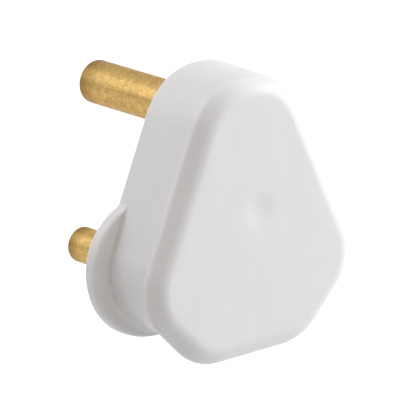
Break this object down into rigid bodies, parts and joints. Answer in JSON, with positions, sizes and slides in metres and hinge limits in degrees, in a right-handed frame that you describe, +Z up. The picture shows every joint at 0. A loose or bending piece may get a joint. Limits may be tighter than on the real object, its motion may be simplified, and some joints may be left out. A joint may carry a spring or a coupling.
{
  "type": "three-pin plug",
  "caption": "Rewirable mains plug with a rounded triangular cover, finger guards and round brass pins, with screw terminals and a cord clamp inside.",
  "frame": {"origin": "midway between the two line pins, on the face of the base that meets the socket", "axes": "+Y along the pins into the socket, +Z up towards the earth pin, X across the plug with the live pin on +X; the cord leaves along -Z"},
  "size_m": [0.0576, 0.0486, 0.0558],
  "materials": {
    "cover_plastic": "white moulded plastic, softly glossy",
    "base_plastic": "white moulded plastic, satin",
    "pin_brass": "turned brass with handling marks",
    "screw_steel": "zinc plated",
    "bush_brass": "turned brass"
  },
  "bodies": {
    "root": {"cover": "cover_plastic", "base": "base_plastic", "earth_pin": "pin_brass", "live_pin": "pin_brass", "neutral_pin": "pin_brass", "earth_terminal_screw": "screw_steel", "live_terminal_screw": "screw_steel", "neutral_terminal_screw": "screw_steel", "cord_clamp": "base_plastic", "left_clamp_screw": "screw_steel", "right_clamp_screw": "screw_steel", "cover_screw": "screw_steel", "cover_insert": "bush_brass"}
  },
  "joints": []
}
